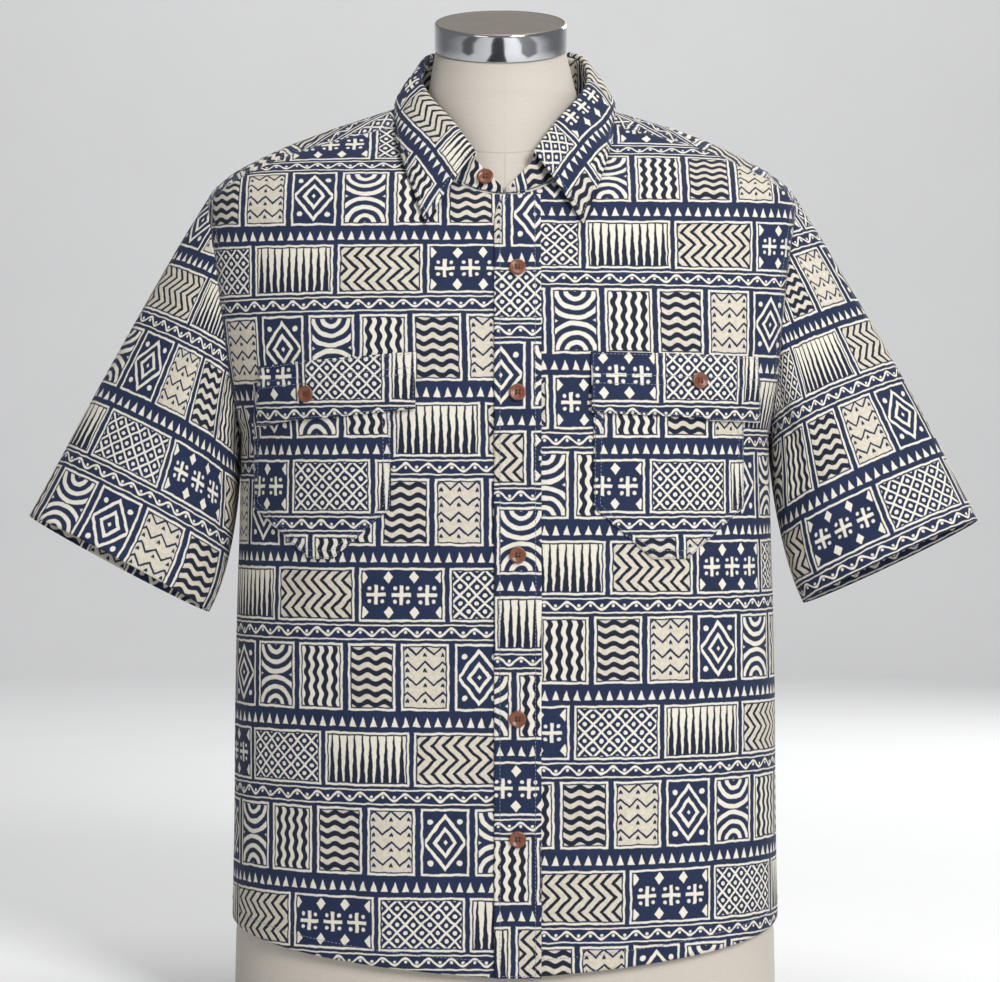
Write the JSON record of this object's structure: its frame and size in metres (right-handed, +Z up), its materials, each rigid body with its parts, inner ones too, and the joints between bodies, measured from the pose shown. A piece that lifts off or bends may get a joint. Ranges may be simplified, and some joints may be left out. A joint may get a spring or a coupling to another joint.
{
  "type": "short-sleeved hawaiian shirt on a dress form",
  "caption": "Short-sleeved button-front shirt with collar and flap pockets, worn by a limbless linen dress form with a steel neck cap.",
  "frame": {"origin": "middle of the dress form's flat base, on the surface it stands on", "axes": "+Z up, +Y to the shirt's back, +X to the right as seen from the front"},
  "size_m": [0.838, 0.2936, 0.9005],
  "materials": {
    "cloth": "printed cotton, navy ground with a cream pattern",
    "linen": "linen cover",
    "steel": "polished steel",
    "button": "satin coconut"
  },
  "bodies": {
    "root": {"dress_form": "linen", "neck_cap": "steel", "front_button_side": "cloth", "front_buttonhole_side": "cloth", "back": "cloth", "yoke": "cloth", "placket": "cloth", "collar_stand": "cloth", "collar_leaf": "cloth", "sleeve_left": "cloth", "sleeve_right": "cloth", "pocket_left": "cloth", "pocket_right": "cloth", "pocket_flap_left": "cloth", "pocket_flap_right": "cloth", "button_front_1": "button", "button_front_2": "button", "button_front_3": "button", "button_front_4": "button", "button_front_5": "button", "button_pocket_left": "button", "button_pocket_right": "button", "button_collar": "button"}
  },
  "joints": []
}
